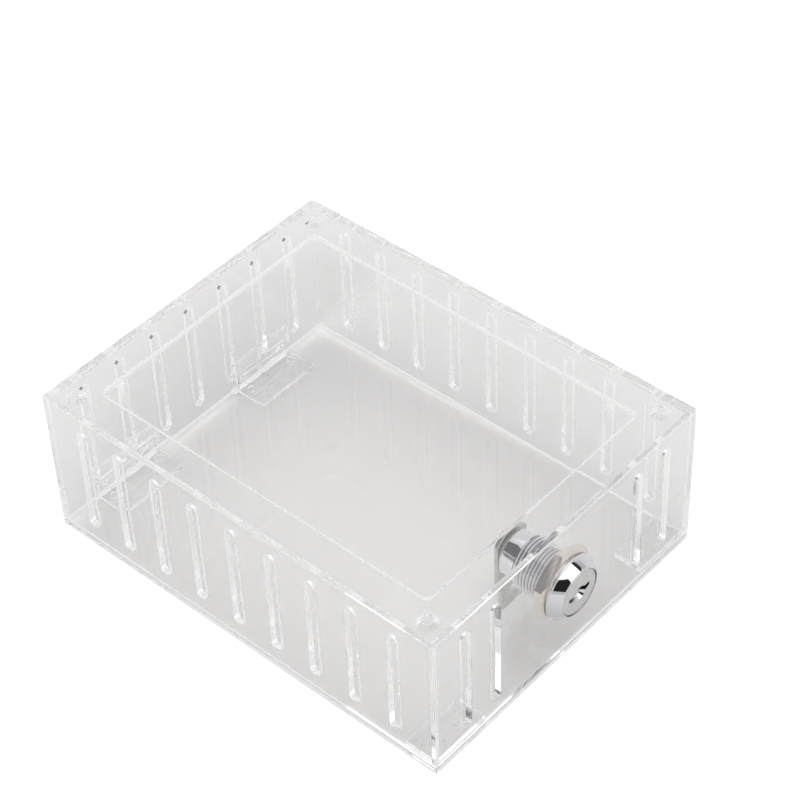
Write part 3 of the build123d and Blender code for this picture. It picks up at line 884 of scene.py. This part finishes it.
nut = merged_copy("lock_nut")
front_x = place("lock_nut")[1].x
front_edges = []
for edge in nut.edges:
    middle = (edge.verts[0].co + edge.verts[1].co) / 2
    if middle.x > front_x - 0.01 and from_axis(middle).length > BORE_REACH:
        front_edges.append(edge)
bevel_edges(nut, front_edges, NUT_BREAK, segments=1)
for v in nut.verts:
    if v.co.x > front_x - 0.01:
        v.co.x = front_x - HAIR
soften(nut, NUT_ROUND, sharper_than=25)
print("nut: front edges", len(front_edges), "volume", round(nut.calc_volume()), "mm3")
finish_piece(nut, "plated_nut", "case", "nickel_nut", ["lock_nut"], crisp=8)

# %% [markdown]
# ## The studio
#
# The box was photographed on a pale table under soft light and then shown on white. The
# floor here is tilted by a little over one degree, because the box lies on its two hinge
# barrels and on the far edge of its cover.

# %% Floor
HINGE_AXIS_X, BARREL_RADIUS = -102.5, 2.5
COVER_EDGE_X, COVER_EDGE_Z = 100.0, 5.0
FLOOR_SIZE, FLOOR_GAP = 4000, 0.02
run, rise = COVER_EDGE_X - HINGE_AXIS_X, COVER_EDGE_Z - BARREL_RADIUS
# The floor passes through the cover's edge and touches the barrels' circle from below.
tilt = atan2(rise, run) + asin(BARREL_RADIUS / (run**2 + rise**2) ** 0.5)
floor_z = COVER_EDGE_Z - COVER_EDGE_X * tan(tilt) - FLOOR_GAP

bm = bmesh.new()
bmesh.ops.create_grid(bm, x_segments=1, y_segments=1, size=FLOOR_SIZE)
bmesh.ops.rotate(bm, verts=bm.verts[:], cent=(0, 0, 0), matrix=Matrix.Rotation(-tilt, 3, "Y"))
bmesh.ops.translate(bm, verts=bm.verts[:], vec=(0, 0, floor_z))
bmesh.ops.scale(bm, vec=(MM, MM, MM), verts=bm.verts[:])
floor_mesh = bpy.data.meshes.new("floor")
bm.to_mesh(floor_mesh)
bm.free()
floor = bpy.data.objects.new("floor", floor_mesh)
bpy.context.scene.collection.objects.link(floor)
print("floor tilted by", round(degrees(tilt), 2), "degrees")

# %% [markdown]
# The box lies on a white sheet of its own size, which lights it from below, and the table
# round it is a little darker, so that the outer edges of the clear walls have something to
# show. The sheet carries painted light: it is painted lighter towards the lock and the near
# wall. Where the camera sees the table itself, Light Path lifts it to white.
#
# Behind the box, as seen from the front lamp, a soft shade is painted on the floor, as if the
# sheets held back a part of the light. That painted shade is a six sided patch with round
# corners, isn't lifted, and past the hinges is painted a little darker. Each side is a point on
# its line and the direction inwards, in millimetres.

# %% Floor finish and the painted shade behind the box
SHADE_SIDES = [
    ((100.0, 0.0), (-1.0, 0.0)), ((0.0, -77.5), (0.0, 1.0)),
    ((-100.0, -77.5), (0.588, 0.809)), ((-165.0, 0.0), (1.0, 0.0)),
    ((0.0, 142.4), (0.0, -1.0)), ((100.0, 77.5), (-0.836, -0.548)),
]
SHADE_SOFT, SHADE_CORNER = 18.0, 80.0
# The table's colour, and the black that its painted shade is blended towards.
TABLE, PAINTED_SHADE_COLOUR = (0.76, 0.755, 0.75, 1), (0, 0, 0, 1)
# The white sheet's colour by the hinges and by the lock, lighter by the lock as painted light.
SHEET_BY_HINGES, SHEET_BY_LOCK = (0.945, 0.935, 0.925, 1), (1.0, 0.99, 0.975, 1)
# In metres: half the white sheet's size and its soft rim, and where the painted shade ends in X.
SHEET_X, SHEET_Y, SHEET_RIM = 0.100, 0.0775, 0.004
HINGE_SHADE_END, HINGE_SHADE_START, HINGE_SHADE = -0.112, -0.1, 0.09
LAMP_DRIFT = 0.12
LIFT_SEEN, LIFT_IN_EDGES = 0.45, 0.08


def inside_line(tree, x, y, point, inward):
    """Distance in metres from a line on the floor, more than 0 on its inner side."""
    from_x = all_of(tree, math(tree, "SUBTRACT", x, point[0] * MM), inward[0])
    from_y = all_of(tree, math(tree, "SUBTRACT", y, point[1] * MM), inward[1])
    return math(tree, "ADD", from_x, from_y)


def at_least_once(tree, count):
    """1 for a ray that has been bent or mirrored at all, 0 for one that hasn't."""
    return math(tree, "MINIMUM", count, 1.0)


material, tree, output, position = start_material("pale_floor")
path = tree.nodes.new("ShaderNodeLightPath").outputs
x, y = axes_of(tree, position)[:2]
depth = inside_line(tree, x, y, *SHADE_SIDES[0])
for side in SHADE_SIDES[1:]:
    depth = math(tree, "SMOOTH_MIN", depth, inside_line(tree, x, y, *side), SHADE_CORNER * MM)
# Painted shade: inside the patch the floor isn't lifted to white.
in_painted_shade = spread_to(tree, depth, 0, 1, 0, SHADE_SOFT * MM)
in_the_open = math(tree, "SUBTRACT", 1.0, in_painted_shade)
seen_direct = all_of(tree, path["Is Camera Ray"], in_the_open, LIFT_SEEN)
mirrored, bent = (at_least_once(tree, path[kind + " Depth"]) for kind in ("Glossy", "Transmission"))
seen_in_edges = all_of(tree, mirrored, bent, LIFT_IN_EDGES)
lift = math(tree, "ADD", seen_direct, seen_in_edges)
beside_x = math(tree, "SUBTRACT", math(tree, "ABSOLUTE", x), SHEET_X)
beside_y = math(tree, "SUBTRACT", math(tree, "ABSOLUTE", y), SHEET_Y)
off_sheet = spread_to(tree, any_of(tree, beside_x, beside_y), 0, 1, 0.0, SHEET_RIM)
# Painted shade: past the hinges the table inside the patch is painted darker.
past_hinges = spread_to(tree, x, 1, 0, HINGE_SHADE_END, HINGE_SHADE_START)
shade = all_of(tree, in_painted_shade, all_of(tree, past_hinges, HINGE_SHADE))
open_table = blend_colours(tree, shade, TABLE, PAINTED_SHADE_COLOUR)
# Painted light: the white sheet is lighter towards the lock and the near wall.
painted_light_to_lock = spread_to(tree, math(tree, "SUBTRACT", x, y), 0, 1, -LAMP_DRIFT, LAMP_DRIFT)
white_sheet = blend_colours(tree, painted_light_to_lock, SHEET_BY_HINGES, SHEET_BY_LOCK)
table_colour = blend_colours(tree, off_sheet, white_sheet, open_table)
table = new_node(tree, "ShaderNodeBsdfDiffuse", Color=table_colour)
glow = new_node(tree, "ShaderNodeEmission", Color=(1, 1, 1, 1), Strength=lift)
both = new_node(tree, "ShaderNodeAddShader")
put(tree, table.outputs[0], both.inputs[0])
put(tree, glow.outputs[0], both.inputs[1])
put(tree, both.outputs[0], output.inputs["Surface"])
floor_mesh.materials.append(material)
print("floor finish:", len(tree.nodes), "nodes,", len(SHADE_SIDES), "sides of the shade")

# %% [markdown]
# ### Lamps
#
# Two softboxes light the table: a wide one overhead, which gives the even white light, and a
# small one in front of the lock, on the side from which the painted shade behind the box
# falls. Neither is mirrored, because the metal has panels of its own to mirror.

# %% Lamps
def add_softbox(name, position, target, size, power):
    """A square or oblong lamp; power is in watts."""
    lamp = bpy.data.lights.new(name, "AREA")
    lamp.shape = "RECTANGLE"
    lamp.size, lamp.size_y = size
    lamp.energy = power
    box = bpy.data.objects.new(name, lamp)
    box.location = position
    box.rotation_euler = (Vector(target) - Vector(position)).to_track_quat("-Z", "Y").to_euler()
    box.visible_camera = False
    box.visible_glossy = False
    bpy.context.scene.collection.objects.link(box)


add_softbox("overhead_softbox", (0.1, 0.0, 1.6), (0, 0, 0.03), (2.2, 2.0), 6.5)
add_softbox("front_softbox", (1.1, -0.9, 0.62), (0.1, 0, 0.04), (0.7, 0.7), 1.5)

# %% [markdown]
# ### What the metal mirrors
#
# Polished chrome shows the room more than itself: on the lock one sees white softboxes with
# black gaps between them. The room here is a world whose brightness depends on direction, so
# each panel is a rectangle in azimuth and elevation. Matt surfaces are lit evenly by it.
# Metal behind a sheet meets fewer and softer panels, and light that the edges of the sheets
# throw to and fro meets only the plain wall, because it would repeat each hard outline many
# times.

# %% Room
AMBIENT, ROOM_WALL, THROUGH_SHEET = 0.92, 0.8, 0.88
# Middle and size of each panel in degrees, azimuth from +X towards +Y, and its brightness.
PANELS = [
    ((0, 38), (100, 34), 1.6),
    ((120, 50), (100, 60), 0.88),
    ((-36, 1), (50, 14), 0.6),
    ((-30, 22), (46, 28), 0.02),
    ((46, 34), (11, 24), 0.03),
    ((55, 22), (3, 22), 0.35),
    ((61, 16), (3, 22), 0.45),
    ((-140, 34), (56, 54), 0.12),
]
PANELS_THROUGH_SHEET = [
    ((-140, 34), (56, 54), 0.12),
    ((150, 62), (40, 20), 1.0),
]


def choose(tree, share, first, second):
    """The second number by this share, and the first by the rest."""
    node = new_node(tree, "ShaderNodeMix", {"data_type": "FLOAT"})
    put(tree, share, node.inputs[0])
    put(tree, first, node.inputs[2])
    put(tree, second, node.inputs[3])
    return node.outputs[0]


def hang(tree, azimuth, elevation, panels):
    """The room's wall with these panels in front of it."""
    level = ROOM_WALL
    for middle, size, brightness in panels:
        in_panel = all_of(tree, *(
            math(tree, "COMPARE", angle, radians(centre), radians(width / 2))
            for angle, centre, width in zip((azimuth, elevation), middle, size)
        ))
        level = choose(tree, in_panel, level, brightness)
    return level


world = bpy.data.worlds.new("room")
bpy.context.scene.world = world
world.use_nodes = True
tree = world.node_tree
tree.nodes.clear()
path = tree.nodes.new("ShaderNodeLightPath").outputs
x, y, z = axes_of(tree, tree.nodes.new("ShaderNodeTexCoord").outputs["Generated"])
sky = math(tree, "ARCTAN2", y, x), math(tree, "ARCSINE", z)
to_and_fro = math(tree, "GREATER_THAN", path["Glossy Depth"], 1.5)
through_sheet = choose(tree, to_and_fro, hang(tree, *sky, PANELS_THROUGH_SHEET), ROOM_WALL)
in_sheet = at_least_once(tree, path["Transmission Depth"])
mirrored = choose(tree, in_sheet, hang(tree, *sky, PANELS), through_sheet)
seen = choose(tree, at_least_once(tree, path["Glossy Depth"]), THROUGH_SHEET, mirrored)
level = choose(tree, at_least_once(tree, path["Diffuse Depth"]), seen, AMBIENT)
room_light = new_node(tree, "ShaderNodeBackground", Color=(1, 1, 1, 1), Strength=level)
world_output = tree.nodes.new("ShaderNodeOutputWorld")
put(tree, room_light.outputs[0], world_output.inputs["Surface"])
print("panels in the room", len(PANELS) + len(PANELS_THROUGH_SHEET))

# %% [markdown]
# ## The camera
#
# The photographer stood at the near corner by the lock and looked down at the box with a
# long lens, and the picture leans by about two degrees. A rotation about the line of sight
# gives that lean, so the frame needs no shift. Clear sheet in clear sheet needs many bounces,
# or the light is lost in it and the edges turn black.

# %% Camera
CAMERA_PLACE = Vector((0.472597, -0.491251, 0.734291))
LOOKS_AT = Vector((-0.016933, 0.037248, 0.040))
FOCAL_LENGTH, LEAN = 110.666, -2.347
SHEET_BOUNCES, VEIL_BOUNCES = 96, 32

camera_data = bpy.data.cameras.new("camera")
camera_data.sensor_width = 36
camera_data.lens = FOCAL_LENGTH
camera_data.clip_start = 0.05
camera = bpy.data.objects.new("camera", camera_data)
camera.location = CAMERA_PLACE
aim = (LOOKS_AT - CAMERA_PLACE).to_track_quat("-Z", "Y")
camera.rotation_euler = (aim @ Quaternion((0, 0, 1), radians(LEAN))).to_euler()
bpy.context.scene.collection.objects.link(camera)
bpy.context.scene.camera = camera

scene = bpy.context.scene
scene.view_settings.view_transform = "Standard"
scene.cycles.max_bounces = SHEET_BOUNCES
scene.cycles.transmission_bounces = SHEET_BOUNCES
scene.cycles.glossy_bounces = SHEET_BOUNCES
scene.cycles.transparent_max_bounces = VEIL_BOUNCES
print("camera at", tuple(camera.location), "lens", camera_data.lens)
